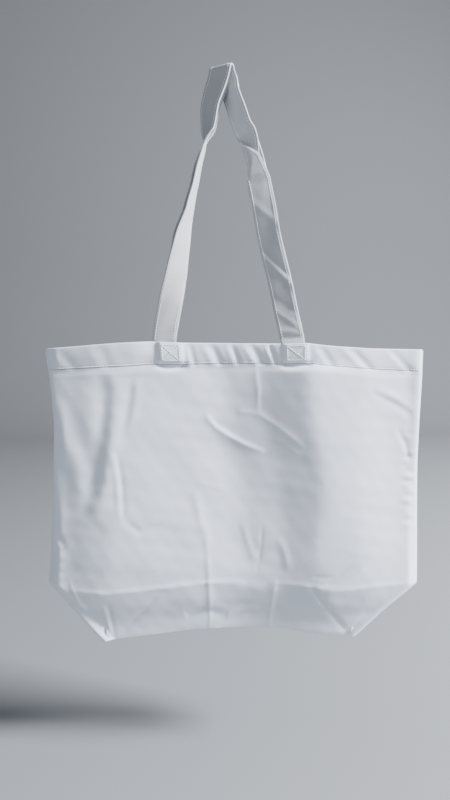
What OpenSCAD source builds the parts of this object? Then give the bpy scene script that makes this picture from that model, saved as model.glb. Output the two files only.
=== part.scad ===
// Canvas tote bag, empty and folded flat, hanging by its two handles.
// Origin: between the tops of the two handle loops, on the hook's centre line.
// +Z up, front of the bag towards -Y, +X to the right.

/* [Bag] */
// Width of the bag from side seam to side seam
bag_w = 440; // [380:5:500]
// Height from the bottom edge to the top of the hem
bag_h = 350; // [300:5:420]
// Depth of the boxed bottom when it is opened out
base_d = 140; // [80:5:160]
// Distance between the outer faces of the folded bag
bag_t = 18.8; // [18.8:0.2:26]
// Thickness of the canvas
cloth_t = 1.2; // [0.8:0.1:1.4]
// Height of the folded hem around the mouth
hem_h = 25; // [20:1:35]

/* [Handles] */
// Width of each handle strap
strap_w = 26; // [22:1:34]
// Thickness of a strap, folded canvas in four layers
strap_t = 2.4; // [1.6:0.2:2.8]
// Rise of each handle loop above the mouth of the bag
handle_rise = 295; // [200:5:320]
// Distance between the sewn ends of one handle, centre to centre
handle_spread = 145; // [120:5:180]
// Inner radius of the bend where a strap hangs over its hook
hook_r = 3; // [2.5:0.5:3]
// Length of strap sewn down inside the hem
tab_h = 22; // [18:1:24]

/* [Thread] */
// Thickness of the sewing thread standing on the cloth
thread_t = 0.4; // [0.3:0.1:0.6]
// Width of a row of stitches
thread_w = 0.8; // [0.6:0.1:1.2]

/* [Hidden] */
$fn = 64;

half_w = bag_w / 2;
half_d = base_d / 2;                     // height and inset of the cut lower corners
mouth_z = -handle_rise;                  // top of the hem
bottom_z = mouth_z - bag_h;              // bottom edge
corner_z = bottom_z + half_d;            // where the sides turn in to the base
base_half_w = half_w - half_d;           // half the length of the bottom edge
outer_y = bag_t / 2;                     // outer face of the back panel
panel_in_y = outer_y - cloth_t;          // inner face of the back panel
hem_in_y = panel_in_y - cloth_t;         // inner face of the back hem
tab_in_y = hem_in_y - strap_t;           // inner face of the sewn handle ends
clear = 0.4;                             // room between pieces that move apart
seam_w = 8;                              // seam allowance inside each side
neck = 1;                                // bare strap that bends above the hem
tab_box_inset = 3;                       // stitched box inside the edge of a sewn end
hem_stitch_z = mouth_z - hem_h + 4;      // row of stitches that holds the hem
stitch_inset = 6;                        // the hem stitching stops short of the sides
loop_gap = 1.2;                          // from a loop to the middle of the bag
loop_y = hook_r + strap_t + loop_gap;    // centre of the back handle's loop
canvas = [0.86, 0.87, 0.89];
canvas_shade = [0.78, 0.79, 0.82];
thread = [0.93, 0.93, 0.94];

// A flat outline in X and Z, given thickness from y_low to y_high.
module upright(y_low, y_high) {
    translate([0, y_high, 0])
        rotate([90, 0, 0])
            linear_extrude(y_high - y_low) children();
}

// Mirrors a piece of the back to the front.
module to_front() {
    mirror([0, 1, 0]) children();
}

// Outline of one side of the bag with its two cut lower corners.
module bag_outline() {
    polygon([
        [-half_w, mouth_z], [half_w, mouth_z], [half_w, corner_z],
        [base_half_w, bottom_z], [-base_half_w, bottom_z], [-half_w, corner_z]
    ]);
}

// Large panel of one side, on the outside of everything else.
module panel() {
    color(canvas) upright(panel_in_y, outer_y) bag_outline();
}

// Cloth turned down inside the mouth.
module hem() {
    color(canvas) upright(hem_in_y, panel_in_y)
        translate([-half_w + cloth_t, mouth_z - hem_h])
            square([bag_w - 2 * cloth_t, hem_h]);
}

// Row of stitches that shows on the outside of the hem.
module hem_stitching() {
    color(thread) upright(outer_y, outer_y + thread_t)
        translate([-half_w + stitch_inset, hem_stitch_z])
            square([bag_w - 2 * stitch_inset, thread_w]);
}

// Narrow side of the bag, where the two panels are sewn together, on the right.
module side_seam() {
    seam_y = hem_in_y - clear;
    color(canvas_shade) {
        translate([half_w - cloth_t, -seam_y, corner_z])
            cube([cloth_t, 2 * seam_y, mouth_z - corner_z]);
        translate([half_w - cloth_t - seam_w, -cloth_t, corner_z + clear])
            cube([seam_w, 2 * cloth_t, mouth_z - corner_z - hem_h]);
    }
}

// Two triangles of cloth folded in between the panels at the lower right corner.
module gusset() {
    layer_y = panel_in_y - clear;
    color(canvas_shade) for (side = [-1, 1])
        translate([0, side * (layer_y - cloth_t / 2) - cloth_t / 2, 0]) upright(0, cloth_t)
            polygon([
                [half_w - 2 * clear, corner_z - clear], [base_half_w, corner_z - clear],
                [base_half_w, bottom_z + 2 * clear]
            ]);
}

// Bottom of the bag, folded up between the panels along its middle.
module base_panel() {
    foot_y = panel_in_y - clear - cloth_t;
    color(canvas_shade) for (side = [0, 1]) mirror([0, side, 0])
        rotate([90, 0, 90]) translate([0, 0, -base_half_w + seam_w])
            linear_extrude(2 * (base_half_w - seam_w)) polygon([
                [0, corner_z], [cloth_t, corner_z],
                [foot_y + cloth_t / 2, bottom_z], [foot_y - cloth_t / 2, bottom_z]
            ]);
}

// Seam across the right end of the bottom, folded up with it.
module corner_seam() {
    foot_y = panel_in_y - clear - cloth_t;
    color(canvas) for (side = [0, 1]) mirror([0, side, 0])
        rotate([90, 0, 90]) translate([0, 0, base_half_w - seam_w])
            linear_extrude(seam_w - clear) polygon([
                [0, corner_z], [2 * cloth_t, corner_z],
                [foot_y + cloth_t / 2, bottom_z], [foot_y - 1.5 * cloth_t, bottom_z]
            ]);
}

// The two ends of one handle, sewn flat inside the hem.
module handle_tabs() {
    color(canvas) for (side = [-1, 1])
        upright(tab_in_y, hem_in_y)
            translate([side * handle_spread / 2 - strap_w / 2, mouth_z - tab_h])
                square([strap_w, tab_h]);
}

// Square of stitches with a cross, through each sewn end, on the outside of the hem.
module tab_stitching() {
    box_w = strap_w - 2 * tab_box_inset;
    box_h = tab_h - 2 * tab_box_inset;
    color(thread) for (side = [-1, 1])
        upright(outer_y, outer_y + thread_t)
            translate([side * handle_spread / 2, mouth_z - tab_box_inset - box_h / 2]) {
                difference() {
                    square([box_w, box_h], center = true);
                    square([box_w - 2 * thread_w, box_h - 2 * thread_w], center = true);
                }
                for (turn = [-1, 1]) rotate(turn * atan(box_h / box_w))
                    square([norm([box_w, box_h]) - 2 * thread_w, thread_w], center = true);
            }
}

// Bend of the strap over the hook, a half turn about X.
module handle_loop() {
    color(canvas) translate([0, loop_y, 0]) rotate([90, 0, 90])
        translate([0, 0, -strap_w / 2]) rotate_extrude(angle = 180)
            translate([hook_r, 0]) square([strap_t, strap_w]);
}

// Strap from the bend down to the neck above the hem. side is -1 on the left, 1 on the
// right; the left leg leaves in front of the hook and the right leg behind it.
module handle_leg(side, top_y) {
    thin = 0.2;
    foot_y = (hem_in_y + tab_in_y) / 2;
    color(canvas) hull() {
        translate([-strap_w / 2, top_y - strap_t / 2, -thin])
            cube([strap_w, strap_t, thin]);
        translate([side * handle_spread / 2 - strap_w / 2, foot_y - strap_t / 2, mouth_z + neck])
            cube([strap_w, strap_t, thin]);
    }
}

// In the back handle's own frame, y of the strap on each side of the hook.
near_y = loop_y - hook_r - strap_t / 2;
far_y = loop_y + hook_r + strap_t / 2;

to_front() panel();  // front_panel
panel();  // back_panel
to_front() hem();  // front_hem
hem();  // back_hem
to_front() hem_stitching();  // front_hem_stitching
hem_stitching();  // back_hem_stitching
mirror([1, 0, 0]) side_seam();  // left_side_seam
side_seam();  // right_side_seam
mirror([1, 0, 0]) gusset();  // left_gusset
gusset();  // right_gusset
base_panel();
mirror([1, 0, 0]) corner_seam();  // left_corner_seam
corner_seam();  // right_corner_seam
to_front() handle_tabs();  // front_handle_tabs
handle_tabs();  // back_handle_tabs
to_front() tab_stitching();  // front_tab_stitching
tab_stitching();  // back_tab_stitching
to_front() handle_loop();  // front_handle_loop
to_front() handle_leg(-1, far_y);  // front_handle_left_leg
to_front() handle_leg(1, near_y);  // front_handle_right_leg
handle_loop();  // back_handle_loop
handle_leg(-1, near_y);  // back_handle_left_leg
handle_leg(1, far_y);  // back_handle_right_leg
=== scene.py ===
import math

import bpy
import numpy as np
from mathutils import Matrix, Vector


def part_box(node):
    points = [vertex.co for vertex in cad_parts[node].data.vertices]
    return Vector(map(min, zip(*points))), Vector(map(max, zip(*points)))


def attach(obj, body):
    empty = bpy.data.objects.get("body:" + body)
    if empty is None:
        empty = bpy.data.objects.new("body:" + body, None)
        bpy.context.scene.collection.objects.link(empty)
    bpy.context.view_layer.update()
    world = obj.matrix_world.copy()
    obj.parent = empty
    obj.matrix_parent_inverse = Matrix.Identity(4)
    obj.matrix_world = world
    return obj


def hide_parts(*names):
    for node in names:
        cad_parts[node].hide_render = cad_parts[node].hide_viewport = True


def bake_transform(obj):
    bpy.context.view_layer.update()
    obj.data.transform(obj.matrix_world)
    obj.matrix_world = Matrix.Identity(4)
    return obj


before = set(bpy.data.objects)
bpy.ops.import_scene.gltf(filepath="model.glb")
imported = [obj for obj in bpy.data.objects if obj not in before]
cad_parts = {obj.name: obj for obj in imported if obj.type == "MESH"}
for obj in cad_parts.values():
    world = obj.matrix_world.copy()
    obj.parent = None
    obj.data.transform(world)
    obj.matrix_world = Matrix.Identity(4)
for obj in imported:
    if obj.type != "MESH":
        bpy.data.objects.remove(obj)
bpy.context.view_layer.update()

# Lengths below are in millimetres, and meshes are made in metres.
MM = 0.001


def span(node):
    """Lowest and highest corner of a CAD node, in millimetres."""
    low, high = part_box(node)
    return np.array(low) / MM, np.array(high) / MM


# sizes of the CAD model
PANEL_LOW, PANEL_HIGH = span("front_panel")
TAB_LOW, TAB_HIGH = span("front_handle_tabs")
LOOP_LOW, LOOP_HIGH = span("back_handle_loop")
HALF_W = PANEL_HIGH[0]                              # from the middle to a side seam
MOUTH = PANEL_HIGH[2]                               # height of the upper edge
BOTTOM = PANEL_LOW[2]                               # height of the lower edge
CORNER = span("left_side_seam")[0][2]               # height where the cut-off corners begin
BASE_HALF = span("right_corner_seam")[1][0]         # half the length of the lower edge
HEM_H = MOUTH - span("front_hem")[0][2]             # height of the hem
STRAP_W = span("front_handle_loop")[1][0] * 2       # width of a strap
TAB_X = TAB_HIGH[0] - STRAP_W / 2                   # from the middle to that of a sewn strap end
TAB_H = MOUTH - TAB_LOW[2]                          # height of a sewn strap end
LOOP_Y = (LOOP_LOW[1] + LOOP_HIGH[1]) / 2           # from the middle plane to a handle's bend

# sizes that only the looks need
CLOTH = 1.0                    # thickness of one layer of canvas
HALF_DEPTH = 8.2               # from the middle plane to the outside of the plain cloth
HEM_T = 2.2                    # thickness of the folded hem
STITCH_LINE = HEM_H - 1.2      # from the mouth down to where the hem ends and the panel begins
STRAP_T = 2.3                  # thickness of a folded strap
HANDLE_SHIFT = -3.5            # the straps are sewn slightly left of the middle
TAB_CENTRES = (-TAB_X + HANDLE_SHIFT, TAB_X + HANDLE_SHIFT)
SEED = 7                       # of the cloth's unevenness


# ---------------------------------------------------------------- small tools

def smooth(t):
    """0 below 0, 1 above 1, and an even S between."""
    t = np.clip(t, 0, 1)
    return t * t * (3 - 2 * t)


def hill(x, centre, width):
    """A smooth bump of height 1."""
    return np.exp(-(((x - centre) / width) ** 2))


def eased(x, places, values, blur):
    """Values at places, joined by a line whose corners are rounded."""
    return sum(np.interp(x + blur * k / 3, places, values) for k in range(-3, 4)) / 7


def near_line(points, x, z):
    """Distance from (x, z) to a line, signed + to its left, and the place along it, 0 to 1."""
    points = np.array(points, float)
    steps = np.diff(points, axis=0)
    lengths = np.hypot(steps[:, 0], steps[:, 1])
    starts = np.concatenate([[0], np.cumsum(lengths)])
    best = np.full(x.shape, 1e9)
    signed = np.zeros(x.shape)
    place = np.zeros(x.shape)
    for i, (p, d, length) in enumerate(zip(points, steps, lengths)):
        t = np.clip(((x - p[0]) * d[0] + (z - p[1]) * d[1]) / length**2, 0, 1)
        dx = x - p[0] - t * d[0]
        dz = z - p[1] - t * d[1]
        away = np.hypot(dx, dz)
        closer = away < best
        side = np.sign(d[0] * dz - d[1] * dx)
        best = np.where(closer, away, best)
        signed = np.where(closer, side * away, signed)
        place = np.where(closer, (starts[i] + t * length) / starts[-1], place)
    return signed, place


def rib(points, height, width, x, z):
    """A soft ridge, or a valley where height is below 0, that fades out at both ends."""
    away, place = near_line(points, x, z)
    return height * np.exp(-((away / width) ** 2)) * np.sqrt(np.clip(4 * place * (1 - place), 0, 1))


def fold(points, height, width, x, z, far=None):
    """A sharp pressed crease with a soft foot. far is its width on the right, if that differs."""
    away, place = near_line(points, x, z)
    width = np.where(away > 0, width, far or width)
    return height * np.exp(-np.abs(away) / width) * np.sqrt(np.clip(4 * place * (1 - place), 0, 1))


def slope(points, height, width, x, z):
    """A soft step up towards the left of the line, dying away on both sides."""
    away, place = near_line(points, x, z)
    across = away / width
    return height * 1.6 * across * np.exp(-(across**2)) * np.sqrt(np.clip(4 * place * (1 - place), 0, 1))


def crumple(x, z, size, seed):
    """Gentle irregular unevenness of about 1 unit, from a few crossed waves."""
    rng = np.random.default_rng(seed)
    total = np.zeros(np.shape(x))
    for _ in range(7):
        angle = rng.uniform(0, math.pi)
        length = size * rng.uniform(0.6, 1.7)
        phase = rng.uniform(0, 2 * math.pi)
        total += np.sin((x * math.cos(angle) + z * math.sin(angle)) * 2 * math.pi / length + phase)
    return total / 4


# ---------------------------------------------------------------- meshes

def make(name, verts, faces, material, uv=None, normals=None):
    """A mesh object from points in millimetres. uv is one flat-cloth place for each point, in metres."""
    mesh = bpy.data.meshes.new(name)
    mesh.from_pydata((np.asarray(verts) * MM).tolist(), [], [tuple(int(i) for i in f) for f in faces])
    mesh.materials.append(material)
    mesh.polygons.foreach_set("use_smooth", [True] * len(mesh.polygons))
    if uv is not None:
        layer = mesh.uv_layers.new(name="cloth")
        loops = np.zeros(len(mesh.loops), np.int32)
        mesh.loops.foreach_get("vertex_index", loops)
        layer.data.foreach_set("uv", np.asarray(uv)[loops].astype(np.float32).ravel())
    mesh.validate()
    if normals is not None:
        mesh.normals_split_custom_set_from_vertices(normals.tolist())
    obj = bpy.data.objects.new(name, mesh)
    bpy.context.scene.collection.objects.link(obj)
    return obj


def grid_faces(rows, cols, flip=False, wrap_rows=False):
    """Four-sided faces of a grid of points laid out row by row."""
    i = np.arange(rows if wrap_rows else rows - 1)[:, None]
    j = np.arange(cols - 1)[None, :]
    a = i * cols + j
    b = a + 1
    d = ((i + 1) % rows) * cols + j
    c = d + 1
    order = (a, d, c, b) if flip else (a, b, c, d)
    return np.stack([np.broadcast_to(o, a.shape).ravel() for o in order], 1)


def point_normals(verts, faces):
    """Normals of the points of a four-sided mesh, weighted by area."""
    p = verts[faces]
    n = np.cross(p[:, 2] - p[:, 0], p[:, 3] - p[:, 1])
    total = np.zeros_like(verts)
    for k in range(4):
        np.add.at(total, faces[:, k], n)
    return total / np.maximum(np.linalg.norm(total, axis=1, keepdims=True), 1e-9)


def slab(outer, normals, rows, cols, thickness, flip):
    """A sheet with thickness: the outer points, then inner ones behind them, closed all round."""
    face = grid_faces(rows, cols, flip)
    inner = outer - normals * thickness
    count = rows * cols
    back_face = face[:, ::-1] + count
    index = np.arange(count).reshape(rows, cols)
    ring = np.concatenate([index[0], index[1:, -1], index[-1, -2::-1], index[-2:0:-1, 0]])
    following = np.roll(ring, -1)
    rim = np.stack([ring, ring + count, following + count, following], 1)
    if flip:
        rim = rim[:, ::-1]
    verts = np.concatenate([outer, inner])
    return verts, np.concatenate([face, back_face, rim]), np.concatenate([normals, -normals])


def columns(points, rows, first, last):
    """Points of a grid between two of its columns, both included."""
    grid = points.reshape(rows, -1, points.shape[-1])
    return grid[:, first:last + 1].reshape(-1, points.shape[-1])


# ---------------------------------------------------------------- the bag's shape

def outline_half(z):
    """Half the width of the cut cloth at height z."""
    below = np.clip((CORNER - z) / (CORNER - BOTTOM), 0, 1)
    return HALF_W - (HALF_W - BASE_HALF) * below


def drift(x, z):
    """How far the hanging cloth moves sideways and up from where it was cut."""
    heights = (-645, -575, -500, -440, -385, -330, -300)
    left = eased(z, heights, (-10, -0.8, 6, 10, 12.5, 10, 6), 12)
    right = eased(z, heights, (-2, 1.6, -1, -2.5, -1.5, 0, 0.4), 12)
    across = (x + HALF_W) / (2 * HALF_W)
    dx = left * (1 - across) + right * across
    places = (-220, -185, -155, -125, -95, -64, 0, 53, 81, 113, 162, 220)
    lift = eased(x, places, (-4.5, -2, 0.5, 2.2, 3.2, 1, 0, -1, 0, -4, -7.5, -9), 8)
    longer = eased(x, (-220, -125, -60, 0, 60, 131, 220), (-1, -3.6, -1, 1, 0.5, 0, -2.4), 8)
    from_mouth = smooth((z - MOUTH + 130) / 130)
    hem_part = np.clip((MOUTH - z) / STITCH_LINE, 0, 1) * smooth((z - MOUTH + 90) / 60)
    low = smooth((CORNER + 10 - z) / (CORNER + 10 - BOTTOM))
    sag = eased(x, (-BASE_HALF, -40, 45, 95, BASE_HALF), (-8, 4, 5, -4, -7), 10) * low
    corners = -np.where(x > 0, 11, 4) * hill(z, CORNER, 30) * np.clip((np.abs(x) - 90) / 130, 0, 1)
    return dx, lift * from_mouth + longer * hem_part + sag + corners


def limit(h):
    """Keeps the cloth inside the depth the bag may take, with a soft turn."""
    return h - 1.2 * np.log1p(np.exp((h - 21) / 1.2))


def body_height(x, z):
    """Distance of the plain cloth from the middle plane, rounded in towards its seams and folds."""
    half = outline_half(z)
    edge = np.where(z > CORNER, 1.3, 1.3 + 3.2 * smooth((CORNER - z) / 30))
    inward = np.minimum(half - np.abs(x), (z - BOTTOM) * 0.8 + 2)
    reach = np.where(z > CORNER, 10, 8)
    turn = np.sqrt(np.clip(1 - (1 - np.clip(inward / reach, 0, 1)) ** 2, 0, 1))
    rise = 0.45 * turn + 0.55 * smooth(inward / 80)
    return edge + (HALF_DEPTH - edge) * rise


def hem_relief(x, down):
    """The hem's own bulge, its lean outwards at the left, and its lifts over the sewn strap ends.

    down is the distance below the mouth.
    """
    h = 0.9 * np.sin(math.pi * np.clip(down / STITCH_LINE, 0, 1))
    h = h + 3.8 * np.clip(1 - down / STITCH_LINE, 0, 1) * smooth((-x - 92) / 30)
    for centre, amount in zip(TAB_CENTRES, (2.0, 1.5)):
        across = smooth((STRAP_W / 2 + 2.5 - np.abs(x - centre)) / 3)
        h = h + amount * across * smooth((TAB_H + 1 - down) / 4)
    return h


def broad_sweep(x, z):
    """Across: high at the left, low left of the middle, up to a soft ridge, and away to the right."""
    places = (-220, -196, -168, -120, -60, -24, -8, 36, 82, 92, 120, 170, 206, 220)
    heights = (0, 3.5, 5.0, 3.6, -0.6, -3.6, -4.0, -0.2, 10.6, 11.2, 8.4, 2.0, -1.0, 0)
    return eased(x - 22 * smooth((-330 - z) / 170), places, heights, 7)


def front_relief(x, z):
    """Sags, folds and pressed creases of the front, as height towards the viewer."""
    h = broad_sweep(x, z) * (0.6 + 0.4 * smooth((-314 - z) / 14)) * (1 - 0.4 * smooth((-540 - z) / 40))
    h = h * (1 - 0.6 * smooth((-600 - z) / 45))
    # the boxed bottom stands out, and turns back under the pressed fold
    h = h + 6.0 * smooth((-420 - z) / 170) * smooth((z + 660) / 80)
    h = h - 2.4 * smooth((-320 - z) / 14) * smooth((z + 420) / 80) * smooth((-x - 80) / 60)
    # soft folds of the left third
    h = h + slope([(-206, -352), (-192, -390), (-176, -430), (-166, -480)], -1.5, 15, x, z)
    h = h + slope([(-144, -326), (-141, -355), (-146, -400), (-154, -445), (-170, -500)], 2.0, 11, x, z)
    h = h + slope([(-112, -330), (-116, -362), (-124, -396)], 0.7, 6, x, z)
    h = h + slope([(-138, -418), (-133, -452), (-131, -500)], -0.9, 4, x, z)
    h = h + rib([(-216, -505), (-206, -520), (-200, -536)], -1.4, 4, x, z)
    # creases of the middle
    h = h + fold([(-32, -377), (-20, -391), (-2, -403), (12, -411), (37, -421)], 2.5, 0.9, x, z, 5)
    h = h + fold([(4, -373), (30, -376), (50, -389), (66, -402), (82, -415)], 1.4, 1.6, x, z, 5)
    h = h + fold([(36, -404), (58, -408), (76, -424)], 0.7, 1.2, x, z, 3)
    h = h + fold([(26, -319), (29, -346), (29, -376)], 0.9, 1.0, x, z, 3)
    h = h + fold([(-44, -455), (-5, -466)], 0.6, 1.0, x, z, 4)
    h = h + rib([(-128, -500), (-110, -514), (-84, -503)], -0.9, 3.6, x, z)
    h = h + rib([(-46, -466), (-40, -500), (-30, -530)], 0.8, 5, x, z)
    h = h + fold([(34, -508), (31, -540), (27, -566)], -0.8, 1.0, x, z)
    h = h + rib([(52, -522), (60, -542), (64, -566)], 0.7, 4, x, z)
    h = h + rib([(10, -505), (16, -530), (24, -550)], 0.7, 4, x, z)
    h = h + rib([(90, -528), (120, -532), (150, -545)], 0.6, 3, x, z)
    # fold pressed across at the height of the boxed bottom, and those down to the lower corners
    h = h + fold([(-196, -584), (-150, -587), (-97, -582), (-31, -576), (14, -578)], 1.8, 1.6, x, z, 6)
    h = h + fold([(40, -578), (80, -580), (122, -586), (179, -583), (221, -583)], 1.3, 1.8, x, z, 6)
    h = h + fold([(-34, -520), (-31, -576), (-30, -645)], 1.0, 3.6, x, z, 1.4)
    h = h + fold([(49, -572), (42, -645)], 1.0, 1.6, x, z, 3.6)
    h = h + fold([(-92, -592), (-141, -652)], -0.9, 1.0, x, z)
    h = h + fold([(88, -578), (140, -652)], -1.8, 1.3, x, z)
    h = h + fold([(-156, -604), (-150, -652)], 1.1, 1.2, x, z)
    h = h + fold([(-150, -600), (-145, -652)], -0.8, 1.0, x, z)
    h = h + fold([(-196, -570), (-186, -600), (-176, -612)], 0.8, 1.2, x, z)
    h = h + fold([(108, -590), (132, -576), (154, -560)], 1.7, 1.2, x, z, 3.0)
    h = h + rib([(102, -584), (122, -568), (138, -554)], -0.9, 2.4, x, z)
    h = h + rib([(92, -570), (118, -570)], -0.8, 2.2, x, z)
    h = h + rib([(-60, -622), (-36, -616), (-8, -624)], -1.6, 7, x, z)
    h = h + rib([(54, -612), (84, -616), (104, -606)], 1.1, 7, x, z)
    h = h + slope([(-24, -636), (6, -620), (30, -617)], 1.0, 6, x, z)
    # drawn cloth along the side seams and at the upper right
    h = h + slope([(160, -350), (186, -362), (214, -380)], 1.0, 5, x, z)
    h = h + rib([(192, -396), (202, -414), (210, -440)], -1.1, 3, x, z)
    pucker = np.sin((z + 0.25 * x) * 2 * math.pi / 15) + 0.6 * np.sin(z * 2 * math.pi / 9.5)
    h = h + 0.9 * pucker * smooth((x - 193) / 20) * hill(z, -462, 50)
    h = h + 0.6 * np.sin(z * 2 * math.pi / 13) * smooth((-x - 196) / 16) * hill(z, -545, 35)
    h = h + 0.5 * crumple(x, z, 60, SEED) + 0.16 * crumple(x, z, 21, SEED + 1)
    return h - (5.8 + 2.4 * hill(x, 55, 65)) * smooth((-579 - z) / 52)


# slanting pulls in the hem: x at the mouth, x at the stitching, height and width
PULLS = (
    (-50, -44, -0.9, 3.0), (-26, -14, -1.5, 5.0), (-2, 7, -1.3, 3.4), (20, 34, -1.6, 5.0),
    (41, 50, -1.9, 2.6), (98, 114, -0.9, 5.0), (134, 158, -1.2, 6.0), (182, 206, -0.9, 5.0),
    (-200, -180, -0.6, 6.0), (-150, -142, -0.5, 7.0),
)


def hem_pulls(x, down):
    """Slanting pulls in the hem, between the straps and towards its ends."""
    h = np.zeros(x.shape)
    for top, foot, height, width in PULLS:
        line = top + (foot - top) * down / STITCH_LINE
        h = h + height * hill(x, line, width) - 0.45 * height * hill(x, line - 1.9 * width, width * 0.8)
    return h * np.clip(down / 7, 0.25, 1)


def tuck_under_tabs(x, down):
    """The cloth drops back under each sewn strap end, below the row of stitches."""
    h = np.zeros(x.shape)
    for centre, depth in zip(TAB_CENTRES, (3.4, 3.0)):
        away = np.abs(x - centre) / (STRAP_W / 2 + 6)
        smile = STITCH_LINE + 3.2 - 3.0 * np.clip(away, 0, 1.2) ** 2
        h = h - depth * smooth((1.15 - away) / 0.5) * hill(down, smile, 2.6)
    return h


def front(x, z):
    """Place of the front cloth's outer face, from where it was cut."""
    down = MOUTH - z
    dx, dz = drift(x, z)
    fade = smooth((outline_half(z) - np.abs(x)) / 14)
    below = smooth((down - STITCH_LINE) / 6)
    h = front_relief(x + dx, z + dz) * (below + (1 - below) * 0.8)
    h = h + (hem_relief(x, down) + hem_pulls(x + dx, down)) * smooth((STITCH_LINE + 3 - down) / 3)
    under_hem = 0.7 + 0.8 * smooth((-x - 110) / 50)
    h = h + tuck_under_tabs(x, down) - under_hem * hill(down, STITCH_LINE + 3.5, 3)
    h = limit(body_height(x, z) + fade * (h - 0.7 * hill(down, STITCH_LINE, 1.2)))
    return np.stack([x + dx, -h, z + dz], -1)


def back_relief(x, z):
    """Sags and creases of the back."""
    h = (2.5 * hill(x, 60, 70) - 2.0 * hill(x, -50, 60)) * (1 - smooth((-580 - z) / 50))
    h = h + rib([(150, -335), (140, -400), (150, -480)], -2.6, 12, x, z)
    h = h + rib([(-150, -330), (-138, -400), (-150, -500)], -2.8, 14, x, z)
    h = h + rib([(60, -325), (30, -400), (40, -470)], -1.6, 12, x, z)
    h = h + rib([(-60, -325), (-20, -390), (20, -420)], 1.6, 7, x, z)
    h = h + fold([(-205, -583), (-100, -580), (0, -578), (110, -581), (210, -582)], 1.8, 3.2, x, z)
    h = h + fold([(2, -340), (-2, -450), (0, -578)], 0.7, 2.4, x, z)
    h = h + fold([(4, -576), (0, -645)], 1.3, 2.6, x, z)
    h = h + fold([(-88, -585), (-142, -650)], -1.8, 2.0, x, z)
    h = h + fold([(90, -585), (142, -650)], -1.6, 2.0, x, z)
    h = h + rib([(120, -560), (150, -545), (178, -552)], 1.5, 4, x, z)
    h = h + rib([(-40, -500), (-10, -520), (30, -512)], -1.2, 5, x, z)
    h = h + 5.0 * smooth((-430 - z) / 150) - 6.0 * smooth((CORNER - 4 - z) / 66)
    return h + 0.45 * crumple(x, z, 64, SEED + 2) + 0.15 * crumple(x, z, 23, SEED + 3)


def back(x, z):
    """Place of the back cloth's outer face."""
    down = MOUTH - z
    dx, dz = drift(x, z)
    fade = smooth((outline_half(z) - np.abs(x)) / 14)
    below = smooth((down - STITCH_LINE) / 6)
    h = back_relief(x + dx, z + dz) * (below + (1 - below) * 0.6)
    h = h + (hem_relief(x, down) + hem_pulls(-x, down)) * smooth((STITCH_LINE + 3 - down) / 3)
    h = h + tuck_under_tabs(x, down) - 0.7 * hill(down, STITCH_LINE, 1.2)
    return np.stack([x + dx, limit(body_height(x, z) + fade * h), z + dz], -1)


# ---------------------------------------------------------------- materials

WAVE_BANDS = 0.314     # a band texture of scale 1 repeats at this length
THREAD_DEPTH = 0.0004  # how far the weave stands out, in metres


def weave_bump(nodes, links, shader, pitch, strength):
    """Over-and-under threads as bump, along the cloth's own two directions. Returns the cloth's places."""
    uv = nodes.new("ShaderNodeUVMap")
    uv.uv_map = "cloth"
    waves = []
    for direction in ("X", "Y"):
        wave = nodes.new("ShaderNodeTexWave")
        wave.wave_type = "BANDS"
        wave.bands_direction = direction
        wave.wave_profile = "SIN"
        wave.inputs["Scale"].default_value = WAVE_BANDS / pitch
        wave.inputs["Distortion"].default_value = 0.6
        wave.inputs["Detail"].default_value = 1.0
        links.new(uv.outputs["UV"], wave.inputs["Vector"])
        waves.append(wave)
    both = nodes.new("ShaderNodeMath")
    both.operation = "MULTIPLY"
    for k, wave in enumerate(waves):
        links.new(wave.outputs["Fac"], both.inputs[k])
    slub = nodes.new("ShaderNodeTexNoise")
    slub.inputs["Scale"].default_value = 900
    slub.inputs["Detail"].default_value = 3
    links.new(uv.outputs["UV"], slub.inputs["Vector"])
    total = nodes.new("ShaderNodeMath")
    total.operation = "ADD"
    links.new(both.outputs[0], total.inputs[0])
    links.new(slub.outputs["Fac"], total.inputs[1])
    bump = nodes.new("ShaderNodeBump")
    bump.inputs["Strength"].default_value = strength
    bump.inputs["Distance"].default_value = THREAD_DEPTH
    links.new(total.outputs[0], bump.inputs["Height"])
    links.new(bump.outputs["Normal"], shader.inputs["Normal"])
    return uv


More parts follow.
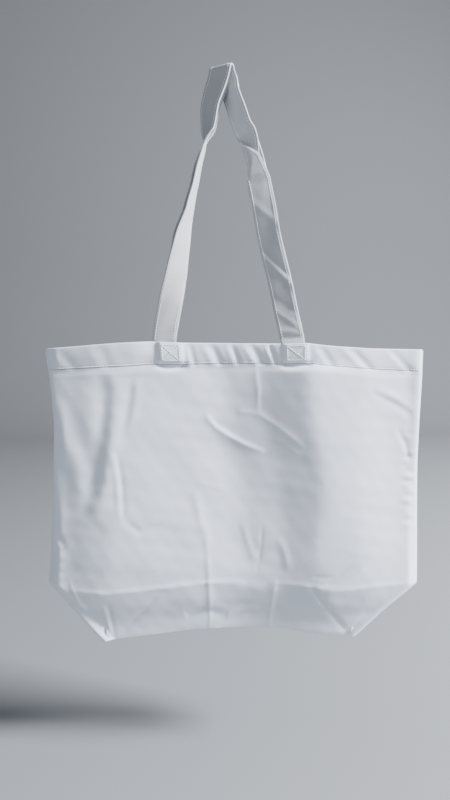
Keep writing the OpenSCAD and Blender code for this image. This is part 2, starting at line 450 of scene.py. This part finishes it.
def cloth_material(name, light, dark, pitch, strength, sheen, roughness):
    """Woven cotton: two close tones in soft patches and thread streaks, with a weave in relief."""
    material = bpy.data.materials.new(name)
    material.use_nodes = True
    nodes = material.node_tree.nodes
    links = material.node_tree.links
    shader = nodes["Principled BSDF"]
    shader.inputs["Roughness"].default_value = roughness
    shader.inputs["Sheen Weight"].default_value = sheen
    shader.inputs["Sheen Roughness"].default_value = 0.5
    shader.inputs["Specular IOR Level"].default_value = 0.3
    uv = weave_bump(nodes, links, shader, pitch, strength)
    patches = nodes.new("ShaderNodeTexNoise")
    patches.inputs["Scale"].default_value = 14
    patches.inputs["Detail"].default_value = 4
    patches.inputs["Roughness"].default_value = 0.6
    links.new(uv.outputs["UV"], patches.inputs["Vector"])
    streak = nodes.new("ShaderNodeMapping")
    streak.inputs["Scale"].default_value = (1400, 60, 1)
    links.new(uv.outputs["UV"], streak.inputs["Vector"])
    threads = nodes.new("ShaderNodeTexNoise")
    threads.inputs["Scale"].default_value = 1
    threads.inputs["Detail"].default_value = 2
    links.new(streak.outputs["Vector"], threads.inputs["Vector"])
    mixed = nodes.new("ShaderNodeMath")
    mixed.operation = "MULTIPLY_ADD"
    mixed.inputs[1].default_value = 0.35
    links.new(threads.outputs["Fac"], mixed.inputs[0])
    links.new(patches.outputs["Fac"], mixed.inputs[2])
    ramp = nodes.new("ShaderNodeValToRGB")
    ramp.color_ramp.elements[0].position = 0.35
    ramp.color_ramp.elements[0].color = (*dark, 1)
    ramp.color_ramp.elements[1].position = 0.95
    ramp.color_ramp.elements[1].color = (*light, 1)
    links.new(mixed.outputs[0], ramp.inputs["Fac"])
    links.new(ramp.outputs["Color"], shader.inputs["Base Color"])
    return material


CANVAS = cloth_material("canvas", (0.76, 0.80, 0.90), (0.70, 0.745, 0.85), 0.0007, 0.35, 0.2, 0.88)
# The straps are of the same canvas as the panels; their darker colour here is painted shade, for the
# lesser light that falls on them.
STRAP_PAINTED_SHADE = cloth_material("strap_canvas_painted_shade", (0.45, 0.465, 0.50), (0.40, 0.415, 0.45), 0.0007, 0.35, 0.2, 0.88)
THREAD = cloth_material("thread", (0.92, 0.94, 0.98), (0.88, 0.90, 0.94), 0.0003, 0.4, 0.3, 0.75)


# ---------------------------------------------------------------- camera, light and stage

def camera():
    """Slightly left of the middle and a little above it, looking down by a few degrees."""
    data = bpy.data.cameras.new("camera")
    data.sensor_fit = "HORIZONTAL"
    data.sensor_width = 36
    data.lens = 47.2
    obj = bpy.data.objects.new("camera", data)
    obj.location = Vector((-24.6, -684.0, -280.8)) * MM
    down, turn, roll = 6.67, 1.32, 0.43
    obj.rotation_euler = (math.radians(90 - down), math.radians(roll), math.radians(-turn))
    bpy.context.scene.collection.objects.link(obj)
    bpy.context.scene.camera = obj


def area_light(name, place, target, size, power, colour):
    """A lit rectangle at a place in metres, turned to face the target."""
    data = bpy.data.lights.new(name, "AREA")
    data.shape = "RECTANGLE"
    data.size, data.size_y = size
    data.energy = power
    data.color = colour
    obj = bpy.data.objects.new(name, data)
    obj.location = place
    aim = Vector(target) - Vector(place)
    obj.rotation_euler = aim.to_track_quat("-Z", "Y").to_euler()
    bpy.context.scene.collection.objects.link(obj)


def lights():
    """A key from the right that rakes over the cloth, a faint top light, and a fill from the left."""
    middle = (0, 0, (MOUTH + BOTTOM) / 2 * MM)
    area_light("key", (2.6, -0.62, 1.15), middle, (0.6, 0.6), 520, (0.98, 0.985, 1.0))
    area_light("top", (0.3, -0.7, 2.2), middle, (1.2, 0.8), 5, (0.95, 0.97, 1.0))
    area_light("fill", (-1.2, -2.4, 0.1), middle, (1.6, 1.6), 21, (0.90, 0.95, 1.0))
    world = bpy.data.worlds.new("world")
    world.use_nodes = True
    sky = world.node_tree.nodes["Background"]
    sky.inputs["Color"].default_value = (0.88, 0.93, 1.0, 1)
    sky.inputs["Strength"].default_value = 0.14
    bpy.context.scene.world = world


def stage():
    """A plain floor that turns up into a backdrop behind the bag."""
    floor_z, wall_y, bend, steps = BOTTOM * MM - 0.16, 3.2, 1.0, 12
    profile = [(-5.0, floor_z), (wall_y - bend, floor_z)]
    for k in range(1, steps + 1):
        angle = math.pi / 2 * k / steps
        profile.append((wall_y - bend + bend * math.sin(angle), floor_z + bend - bend * math.cos(angle)))
    profile.append((wall_y, 4.0))
    verts = [(x, y, z) for y, z in profile for x in (-6.0, 6.0)]
    material = bpy.data.materials.new("stage")
    material.use_nodes = True
    shader = material.node_tree.nodes["Principled BSDF"]
    shader.inputs["Base Color"].default_value = (0.205, 0.217, 0.235, 1)
    shader.inputs["Roughness"].default_value = 0.9
    floor = make("floor", np.array(verts) / MM, grid_faces(len(profile), 2), material)


# ---------------------------------------------------------------- panels and hems

GRID = 2.2             # spacing of the cloth's points


def panel_grid(place, toward_viewer):
    """Outer points of one large panel, from hem stitching to bottom edge, with normals and cut places."""
    cols = 2 * int(HALF_W / GRID) + 1
    rows = int((MOUTH - STITCH_LINE - BOTTOM) / GRID) + 1
    z = np.repeat(np.linspace(MOUTH - STITCH_LINE, BOTTOM, rows)[:, None], cols, 1)
    x = outline_half(z) * np.linspace(-1, 1, cols)
    outer = place(x, z).reshape(-1, 3)
    normals = point_normals(outer, grid_faces(rows, cols, flip=not toward_viewer))
    return outer, normals, np.stack([x, z], -1).reshape(-1, 2) * MM, rows, cols


def hem_grid(place, toward_viewer):
    """Points of the folded band round the mouth: up the outside, over the top, and down inside."""
    cols = 2 * int(HALF_W / GRID) + 1
    x = np.linspace(-HALF_W, HALF_W, cols)
    side = 1 if toward_viewer else -1
    r = HEM_T / 2
    section = [(STITCH_LINE - d, 0) for d in np.linspace(0, STITCH_LINE - r, 11)]
    section += [(r - r * math.sin(a), r - r * math.cos(a)) for a in np.linspace(0, math.pi, 9)[1:]]
    section += [(d, HEM_T) for d in np.linspace(r, HEM_H, 11)[1:]]
    section += [(d, HEM_T - CLOTH) for d in (HEM_H, (HEM_H + STITCH_LINE) / 2, STITCH_LINE)]
    rows = []
    for down, depth in section:
        point = place(x, np.full(cols, MOUTH - down))
        point[:, 1] += side * depth * np.clip((HALF_W - np.abs(x)) / 8, 0.12, 1)
        rows.append(point)
    band = np.concatenate(rows)
    normals = point_normals(band, grid_faces(len(section), cols, flip=not toward_viewer, wrap_rows=True))
    uv = np.stack([np.tile(x, len(section)), np.repeat([d for d, _ in section], cols)], 1) * MM
    return band, normals, uv, len(section), cols


def panel_piece(name, grid, first, last, toward_viewer):
    """The part of a panel between two columns of its points, as a closed sheet."""
    outer, normals, uv, rows, _ = grid
    part = [columns(a, rows, first, last) for a in (outer, normals, uv)]
    verts, faces, shading = slab(part[0], part[1], rows, last - first + 1, CLOTH, flip=not toward_viewer)
    return make(name, verts, faces, CANVAS, np.tile(part[2], (2, 1)), shading)


def hem_piece(name, grid, first, last, toward_viewer):
    """The part of a hem between two columns of its points, closed at both ends."""
    band, normals, uv, rows, _ = grid
    part = [columns(a, rows, first, last) for a in (band, normals, uv)]
    cols = last - first + 1
    faces = grid_faces(rows, cols, flip=not toward_viewer, wrap_rows=True).tolist()
    ends = [[r * cols for r in range(rows)], [r * cols + cols - 1 for r in reversed(range(rows))]]
    faces += ends if toward_viewer else [end[::-1] for end in ends]
    return make(name, part[0], faces, CANVAS, part[2], part[1])


def on_bag(piece, node):
    """The piece stays with the bag, in place of a CAD node."""
    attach(piece, "bag")
    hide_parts(node)


def on_opening(piece, node):
    """A piece of the front, with its place baked into its points, in place of a CAD node."""
    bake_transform(piece)
    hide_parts(node)


def bag_cloth():
    """Two large panels and their hems. Those of the front are made in halves that meet at the middle."""
    panels = panel_grid(front, True)
    hems = hem_grid(front, True)
    middle = panels[4] // 2
    for label, side, first, last in (("left", -1, 0, middle), ("right", 1, middle, 2 * middle)):
        panel = panel_piece(f"front_panel_{label}", panels, first, last, True)
        on_opening(panel, "front_panel")
        hem = hem_piece(f"front_hem_{label}", hems, first, last, True)
        on_opening(hem, "front_hem")
    panel = panel_piece("back_panel_cloth", panel_grid(back, False), 0, 2 * middle, False)
    on_bag(panel, "back_panel")
    hem = hem_piece("back_hem_cloth", hem_grid(back, False), 0, 2 * middle, False)
    on_bag(hem, "back_hem")


# ---------------------------------------------------------------- bottom and seams

def bottom_edge(x, place):
    """Lower edge of a side of the bag at each x, along the bottom and up the cut corners."""
    over = np.clip((np.abs(x) - BASE_HALF) / (HALF_W - BASE_HALF), 0, 1)
    return place(x, BOTTOM + (CORNER - BOTTOM) * over)


TUCK_ROWS = 41         # points across the folded-in bottom, from front to back


def tucked(x):
    """Surface folded up between the panels, from the front edge over its middle fold to the back edge."""
    a = bottom_edge(x, front)
    b = bottom_edge(x, back)
    a[:, 1] += 0.8
    b[:, 1] -= 0.8
    top = np.maximum(CORNER - 6, np.maximum(a[:, 2], b[:, 2]) + 0.5)
    out = []
    for p in np.linspace(0, 1, TUCK_ROWS):
        rise = 1 - abs(2 * p - 1) ** 1.15
        point = a * (1 - p) + b * p
        point[:, 2] += rise * (top - point[:, 2])
        point[:, 1] += 0.5 * np.sin(x / 17 + 4 * p) * math.sin(math.pi * p)
        out.append(point)
    return np.concatenate(out)


def tucked_piece(name, x_low, x_high, node):
    """A stretch of the cloth that is folded up between the panels."""
    rows, cols = TUCK_ROWS, int(abs(x_high - x_low) / 4) + 2
    x = np.linspace(x_low, x_high, cols)
    outer = tucked(x)
    normals = point_normals(outer, grid_faces(rows, cols, flip=True))
    verts, faces, _ = slab(outer, normals, rows, cols, CLOTH, flip=True)
    across = np.linspace(0, 2 * (CORNER - BOTTOM), rows)
    uv = np.tile(np.stack([np.tile(x, rows), np.repeat(across, cols)], 1) * MM, (2, 1))
    piece = make(name, verts, faces, CANVAS, uv)
    on_bag(piece, node)
    return piece


def bead(name, path, half_depth, half_width):
    """A closed rounded bead along a path, thinner at its two ends."""
    sides = 10
    path = np.asarray(path)
    angle = np.linspace(0, 2 * math.pi, sides, endpoint=False)
    tangent = np.gradient(path, axis=0)
    tangent /= np.linalg.norm(tangent, axis=1, keepdims=True)
    across = np.cross(tangent, (0.0, 1.0, 0.0))
    across /= np.maximum(np.linalg.norm(across, axis=1, keepdims=True), 1e-6)
    other = np.cross(across, tangent)
    taper = np.ones(len(path))
    taper[0] = taper[-1] = 0.35
    rings = [path + (half_width * taper * math.cos(a))[:, None] * across
             + (half_depth * taper * math.sin(a))[:, None] * other for a in angle]
    faces = grid_faces(sides, len(path), flip=True, wrap_rows=True)
    uv = np.stack([np.repeat(np.arange(sides), len(path)), np.tile(path[:, 2], sides)], 1) * MM
    return make(name, np.concatenate(rings), faces, CANVAS, uv)


def side_seam(sign, name):
    """Bead where the two panels are sewn together, with the seam allowance flat inside."""
    z = np.linspace(MOUTH - 1, CORNER, 90)
    x = np.full(z.shape, sign * HALF_W)
    edge = (front(x, z) + back(x, z)) / 2
    edge[:, 0] += sign * 0.2
    half_depth = 1.5 + 0.15 * np.sin(z / 2.1)
    angle = np.linspace(0, 2 * math.pi, 14, endpoint=False)
    rings = []
    for a in angle:
        ring = edge.copy()
        allowance = 7.5 * max(0.0, -math.cos(a)) ** 0.5
        ring[:, 0] += sign * (1.2 * math.cos(a) - allowance)
        ring[:, 1] += (half_depth if math.cos(a) > -0.2 else 0.7) * math.sin(a)
        rings.append(ring)
    verts = np.concatenate(rings)
    faces = grid_faces(len(angle), len(z), flip=sign > 0, wrap_rows=True)
    uv = np.stack([np.repeat(np.arange(len(angle)), len(z)), np.tile(z, len(angle))], 1) * MM
    on_bag(make(f"{name}_bead", verts, faces, CANVAS, uv), name)


def corner_seam(sign, name):
    """Seam across the end of the tucked-in bottom."""
    path = tucked(np.array([sign * BASE_HALF]))
    path[:, 2] += 0.6
    on_bag(bead(f"{name}_bead", path, 1.1, 1.5), name)


def bottom_and_seams():
    """The folded-in base with its gussets, and the seams along the sides and across the base's ends."""
    base = tucked_piece("base_panel_cloth", -BASE_HALF, BASE_HALF, "base_panel")
    ends = (("left_gusset", -HALF_W + 1, -BASE_HALF), ("right_gusset", BASE_HALF, HALF_W - 1))
    for name, low, high in ends:
        gusset = tucked_piece(f"{name}_cloth", low, high, name)
    for sign, label in ((-1, "left"), (1, "right")):
        side_seam(sign, f"{label}_side_seam")
        corner_seam(sign, f"{label}_corner_seam")


# ---------------------------------------------------------------- stitches

STITCH = 2.8           # length of a stitch in the hem and the strap ends
STITCH_GAP = 0.55      # between one stitch and the next
STITCH_LIFT = 0.12     # from the cloth to the middle of the thread


def stitches(name, places, along, normals, length, width, height):
    """Short rounded threads lying on a surface, as one mesh."""
    sides = 6
    ring_at = np.array([-0.5, -0.36, 0, 0.36, 0.5]) * length
    ring_size = np.array([0.25, 0.85, 1.0, 0.85, 0.25])
    angle = np.linspace(0, 2 * math.pi, sides, endpoint=False)
    places, along, normals = (np.asarray(a, float) for a in (places, along, normals))
    along = along / np.linalg.norm(along, axis=1, keepdims=True)
    across = np.cross(normals, along)
    across /= np.linalg.norm(across, axis=1, keepdims=True)
    up = np.cross(along, across)
    template = [(at, size * width / 2 * math.cos(a), size * height * math.sin(a))
                for at, size in zip(ring_at, ring_size) for a in angle]
    verts = np.concatenate([places + t * along + c * across + u * up for t, c, u in template], 1)
    faces = []
    last_ring = (len(ring_at) - 1) * sides
    for first in range(0, len(places) * len(template), len(template)):
        for ring in range(first, first + last_ring, sides):
            for k in range(sides):
                a, b = ring + k, ring + (k + 1) % sides
                faces.append((a, a + sides, b + sides, b))
        faces.append(tuple(first + k for k in range(sides)))
        faces.append(tuple(first + last_ring + k for k in reversed(range(sides))))
    uv = np.tile(np.array([(t, c) for t, c, _ in template]) * MM, (len(places), 1))
    return make(name, verts.reshape(-1, 3), faces, THREAD, uv)


def surface_frame(place, x, z):
    """Points on a side of the bag, with the outward normal at each."""
    near = 0.4
    p = place(x, z)
    du = place(x + near, z) - place(x - near, z)
    dv = place(x, z + near) - place(x, z - near)
    n = np.cross(du, dv)
    n /= np.linalg.norm(n, axis=1, keepdims=True)
    outward = np.sign(p[:, 1:2])
    n = n * np.where(n[:, 1:2] * outward < 0, -1, 1)
    return p, n


def row_of_stitches(place, xs, zs):
    """Middles, directions and normals of the stitches along a flat-cloth line given by its points."""
    xs, zs = np.asarray(xs, float), np.asarray(zs, float)
    run = np.hypot(np.diff(xs), np.diff(zs))
    total = np.concatenate([[0], np.cumsum(run)])
    at = np.arange(STITCH / 2, total[-1], STITCH + STITCH_GAP)
    x, z = np.interp(at, total, xs), np.interp(at, total, zs)
    x2, z2 = np.interp(at + 0.5, total, xs), np.interp(at + 0.5, total, zs)
    p, n = surface_frame(place, x, z)
    q, _ = surface_frame(place, x2 + 1e-6, z2)
    d = q - p
    d[np.linalg.norm(d, axis=1) < 1e-4] = (1, 0, 0)
    return p + STITCH_LIFT * n, d, n


def tab_lines():
    """Square with a cross on each sewn strap end, as flat-cloth lines."""
    inset = 3
    lines = []
    for centre in TAB_CENTRES:
        x0, x1 = centre - STRAP_W / 2 + inset, centre + STRAP_W / 2 - inset
        z0, z1 = MOUTH - TAB_H + inset, MOUTH - inset
        lines += [([x0, x1], [z1, z1]), ([x1, x1], [z1, z0]), ([x1, x0], [z0, z0]), ([x0, x0], [z0, z1]),
                  ([x0, x1], [z0, z1]), ([x0, x1], [z1, z0])]
    return lines


def stitched(name, place, lines, width=1.1, height=0.6):
    """Stitches along flat-cloth lines on one side of the bag."""
    parts = [row_of_stitches(place, xs, zs) for xs, zs in lines]
    rows = [np.concatenate([part[k] for part in parts]) for k in range(3)]
    return stitches(name, *rows, STITCH, width, height)


def stitching():
    """The row along each hem, and the squares with a cross on the strap ends."""
    line = MOUTH - STITCH_LINE + 1.6
    end = HALF_W - 6
    for label, side, lo, hi in (("left", -1, -end, -0.3), ("right", 1, 0.3, end)):
        piece = stitched(f"front_hem_stitches_{label}", front, [([lo, hi], [line, line])])
        on_opening(piece, "front_hem_stitching")
    piece = stitched("front_tab_stitches", front, tab_lines(), 0.9, 0.4)
    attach(piece, "front")
    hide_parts("front_tab_stitching")
    piece = stitched("back_hem_stitches", back, [([-end, end], [line, line])])
    on_bag(piece, "back_hem_stitching")
    piece = stitched("back_tab_stitches", back, tab_lines(), 0.9, 0.4)
    on_bag(piece, "back_tab_stitching")


# ---------------------------------------------------------------- handles

WIRE_TURN = 150        # direction of the hook under the straps, in degrees from +X
LOOP_R = 4.2           # from the hook's middle to the middle of the strap
STEP = 2.5             # spacing of points along a strap
STRAP_COLS = 17        # points across it
MIDDLE_X = -24.6       # the legs hang evenly on both sides of this
HOOK_X = -10.5         # middle of the front strap's bend


def even(path):
    """Points at equal steps along a smooth curve through the given ones."""
    path = np.asarray(path, float)
    ends = np.vstack([2 * path[0] - path[1], path, 2 * path[-1] - path[-2]])
    fine = []
    for p0, p1, p2, p3 in zip(ends, ends[1:], ends[2:], ends[3:]):
        t = np.linspace(0, 1, 24, endpoint=False)[:, None]
        fine.append(0.5 * (2 * p1 + (p2 - p0) * t + (2 * p0 - 5 * p1 + 4 * p2 - p3) * t**2
                           + (3 * p1 - p0 - 3 * p2 + p3) * t**3))
    fine = np.vstack(fine + [path[-1:]])
    run = np.concatenate([[0], np.cumsum(np.linalg.norm(np.diff(fine, axis=0), axis=1))])
    at = np.linspace(0, run[-1], int(run[-1] / STEP) + 1)
    return np.stack([np.interp(at, run, fine[:, k]) for k in range(3)], 1)


# wrinkles across a strap's two legs: z in the middle, change of z over the width, height and width
LEFT_WRINKLES = ((-284, 16, 0.9, 4), (-272, 10, -0.5, 4), (-291, 4, 0.8, 3))
RIGHT_WRINKLES = (
    (-289, 0, 1.6, 3.6), (-282, -3, -0.8, 3), (-268, -22, -0.7, 4), (-252, -18, 0.6, 5),
    (-212, -34, -0.9, 5), (-204, -34, 0.5, 5), (-150, -24, -0.7, 6), (-236, 20, 0.4, 7),
)


def strap_wrinkles(z, q, lines):
    """Soft wrinkles of a strap, as its relief at height z and q across, -0.5 to 0.5."""
    h = np.zeros(np.broadcast(z, q).shape)
    for height, tilt, amount, width in lines:
        h = h + amount * hill(z, height + tilt * q, width)
    return h + 0.35 * np.sin(z / 17 + 3 * q) * np.sin(z / 7.3 - 4 * q + 1)


def strap_surface(path, apex, turn_up, turn_down):
    """Middle surface of a strap. turn_up(z) and turn_down(z, q) give its direction across, in degrees."""
    q = np.linspace(-0.5, 0.5, STRAP_COLS)
    tangent = np.gradient(path, axis=0)
    tangent /= np.linalg.norm(tangent, axis=1, keepdims=True)
    rows = []
    for i, (p, t) in enumerate(zip(path, tangent)):
        rising = i <= apex
        angle = np.radians(turn_up(p[2]) + 0 * q if rising else turn_down(p[2], q))
        lean = t[0] / max(math.hypot(t[0], t[2]), 0.3) * (1 if rising else -1)
        lean *= smooth((-p[2] - 2) / 18)
        level = np.array([math.sqrt(1 - lean**2), 0, -lean])
        step = np.cos(angle)[:, None] * level + np.sin(angle)[:, None] * np.array([0, 1.0, 0])
        middle = (step[1:] + step[:-1]) / 2
        across = np.vstack([[0, 0, 0], np.cumsum(middle, 0)]) * STRAP_W / (len(q) - 1)
        across -= (across.max(0) + across.min(0)) / 2
        rows.append(p + across)
    surface = np.array(rows)
    normal = np.cross(np.gradient(surface, axis=0), np.gradient(surface, axis=1))
    normal /= np.linalg.norm(normal, axis=2, keepdims=True)
    outward = 1 if normal[len(path) // 12, STRAP_COLS // 2, 1] < 0 else -1
    for part, lines in ((slice(0, apex + 1), LEFT_WRINKLES), (slice(apex + 1, None), RIGHT_WRINKLES)):
        z = surface[part, :, 2]
        amount = strap_wrinkles(z, q[None, :], lines) * smooth((z - MOUTH - 1) / 4) * smooth((-z - 8) / 12)
        surface[part] += outward * normal[part] * amount[..., None]
    return surface


def strap_solid(surface):
    """Closed folded strap around its middle surface, with the two layers of its folded edges showing."""
    along = np.gradient(surface, axis=0)
    across = np.gradient(surface, axis=1)
    normal = np.cross(along, across)
    normal /= np.linalg.norm(normal, axis=2, keepdims=True)
    across /= np.linalg.norm(across, axis=2, keepdims=True)
    half = STRAP_T / 2
    bulge = 0.25 * (1 - (2 * np.linspace(-0.5, 0.5, surface.shape[1])) ** 4)[None, :, None]
    top = surface + normal * (half - 0.25 + bulge)
    under = surface - normal * (half - 0.25 + bulge)
    strips = [top[:, k] for k in range(top.shape[1])]
    right, left = surface[:, -1], surface[:, 0]
    for out, level in ((0.45, 0.5), (0.05, 0.0), (0.45, -0.5)):
        strips.append(right + across[:, -1] * out + normal[:, -1] * half * level)
    strips += [under[:, k] for k in reversed(range(under.shape[1]))]
    for out, level in ((0.45, -0.5), (0.05, 0.0), (0.45, 0.5)):
        strips.append(left - across[:, 0] * out + normal[:, 0] * half * level)
    rows, cols = surface.shape[0], len(strips)
    verts = np.concatenate(strips)
    faces = grid_faces(cols, rows, wrap_rows=True)
    caps = [[c * rows for c in range(cols)], [c * rows + rows - 1 for c in reversed(range(cols))]]
    length = np.arange(rows) * STEP
    uv = np.stack([np.repeat(np.arange(cols) * 2.0, rows), np.tile(length, cols)], 1) * MM
    return verts, faces.tolist() + caps, uv, normal


def strap_stitches(name, surface, normal):
    """Rows of stitches beside both edges, on both faces."""
    q = np.linspace(-0.5, 0.5, surface.shape[1])
    edge = 0.5 - 2.6 / STRAP_W
    length, pitch, width, height = 2.7, 3.3, 0.6, 0.3
    places, along, ups = [], [], []
    for where in (-edge, edge):
        k = np.interp(where, q, np.arange(len(q)))
        lo, f = int(k), k - int(k)
        line = surface[:, lo] * (1 - f) + surface[:, lo + 1] * f
        up = normal[:, lo] * (1 - f) + normal[:, lo + 1] * f
        run = np.concatenate([[0], np.cumsum(np.linalg.norm(np.diff(line, axis=0), axis=1))])
        at = np.arange(TAB_H + 6, run[-1] - TAB_H - 6, pitch)
        for face in (-1, 1):
            point = np.stack([np.interp(at, run, line[:, c]) for c in range(3)], 1)
            later = np.stack([np.interp(at + 0.6, run, line[:, c]) for c in range(3)], 1)
            n = face * np.stack([np.interp(at, run, up[:, c]) for c in range(3)], 1)
            places.append(point + n * (STRAP_T / 2 - 0.05))
            along.append(later - point)
            ups.append(n)
    rows = [np.concatenate(part) for part in (places, along, ups)]
    return stitches(name, *rows, length, width, height)


def turn_rising(height):
    """Direction across a strap's left leg, in degrees: it turns edge-on, and on past that."""
    heights = (MOUTH, MOUTH + 22, -250, -225, -199, -173, -148, -122, -96, -80, -72, -62, -43, -18, 0)
    return np.interp(height, heights, (0, 3, 9, 28, 42, 56, 74, 81, 84, 88, 98, 122, 134, 145, WIRE_TURN))


def turn_over(height, q):
    """The front strap's right leg: its upper edge folds over to the front and round."""
    before = np.interp(height, (-90, -60, -20, 0), (165, 132, 128, WIRE_TURN))
    after = np.interp(height, (MOUTH, -260, -180, -110), (360, 350, 344, 356))
    return before + (after - before) * smooth((-88 + 46 * q + 9 - height) / 18)


def turn_plain(height, q):
    """The back strap's right leg, without the fold."""
    return np.interp(height, (-220, -130, -60, -20, 0), (180, 134, 126, 128, WIRE_TURN)) + 0 * q


# points (x, z) along the middle of each leg: the left one upwards, the right one downwards
LEFT_LEG = ((-77, -280), (-71, -250), (-65.5, -225), (-60, -199), (-54.5, -173), (-48, -148),
            (-41, -120), (-34, -93), (-27.5, -70), (-26, -57), (-24, -38), (-20, -24), (-15, -10))
RIGHT_LEG = ((-4, -10), (0, -24), (5, -38), (12, -57), (18.5, -70), (25.5, -92), (30.5, -119), (36, -146),
             (40.5, -173), (46.5, -199), (53, -225), (58.5, -251), (65, -280))


def handle_path(side, shift):
    """Middle line of a strap: up the left leg, over the hook and down the right. side is -1 in front."""
    turn = math.radians(WIRE_TURN)
    forward = np.array([-math.sin(turn), math.cos(turn), 0])
    centre = np.array([HOOK_X + shift, side * LOOP_Y, 0])
    spread = 1 if side < 0 else 1.027
    tab = []
    for x in (LEFT_LEG[0][0], RIGHT_LEG[-1][0] + 4):
        face = front(np.array([x]), np.array([MOUTH - 8.0]))[0, 1]
        tab.append(side * (abs(face) - HEM_T - STRAP_T / 2 - 1.2))
    loop = [centre + LOOP_R * (math.cos(a) * forward + math.sin(a) * np.array([0, 0, 1]))
            for a in np.linspace(0, math.pi, 7)]
    out = 0.5 if side > 0 else -1.0

    def leg(points, end, tab_y, aside=0.0):
        """Points of a leg. aside moves it to the left where it is edge-on, clear of the other strap."""
        rows = []
        for x, z in points:
            t = z / MOUTH
            y = end[1] + (tab_y - end[1]) * t + side * out * math.sin(math.pi * t)
            left_by = aside * float(smooth((-66 - z) / 16) * smooth((z + 215) / 50))
            rows.append(((x - MIDDLE_X) * spread + MIDDLE_X + shift - left_by, y, z))
        return rows

    # middles of the two sewn ends
    left, right = (-78.5 * spread + shift, 68.5 * spread + shift)
    rise = [(left, tab[0], MOUTH - TAB_H), (left, tab[0], MOUTH - 10), (left + 0.2, tab[0], MOUTH)]
    fall = [(right, tab[1], MOUTH), (right, tab[1], MOUTH - 10), (right, tab[1], MOUTH - TAB_H)]
    rise += leg(LEFT_LEG, loop[0], tab[0], aside=3.8 if side > 0 else 0.0)
    path = even(rise + loop + leg(RIGHT_LEG, loop[-1], tab[1]) + fall)
    return path, int(np.argmax(path[:, 2]))


def handle(label, side, shift, turn_down):
    """One handle: its strap and its stitches."""
    path, apex = handle_path(side, shift)
    surface = strap_surface(path, apex, turn_rising, turn_down)
    verts, faces, uv, normal = strap_solid(surface)
    # the strap's darker canvas colour is painted shade
    strap = make(f"{label}_handle", verts, faces, STRAP_PAINTED_SHADE, uv)
    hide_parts(f"{label}_handle_tabs", f"{label}_handle_loop",
                f"{label}_handle_left_leg", f"{label}_handle_right_leg")
    thread = strap_stitches(f"{label}_handle_stitches", surface, normal)
    for piece in (strap, thread):
        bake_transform(piece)


def handles():
    """Both handles."""
    handle("front", -1, 0, turn_over)
    handle("back", 1, 1, turn_plain)


camera()
lights()
stage()
bag_cloth()
bottom_and_seams()
stitching()
handles()
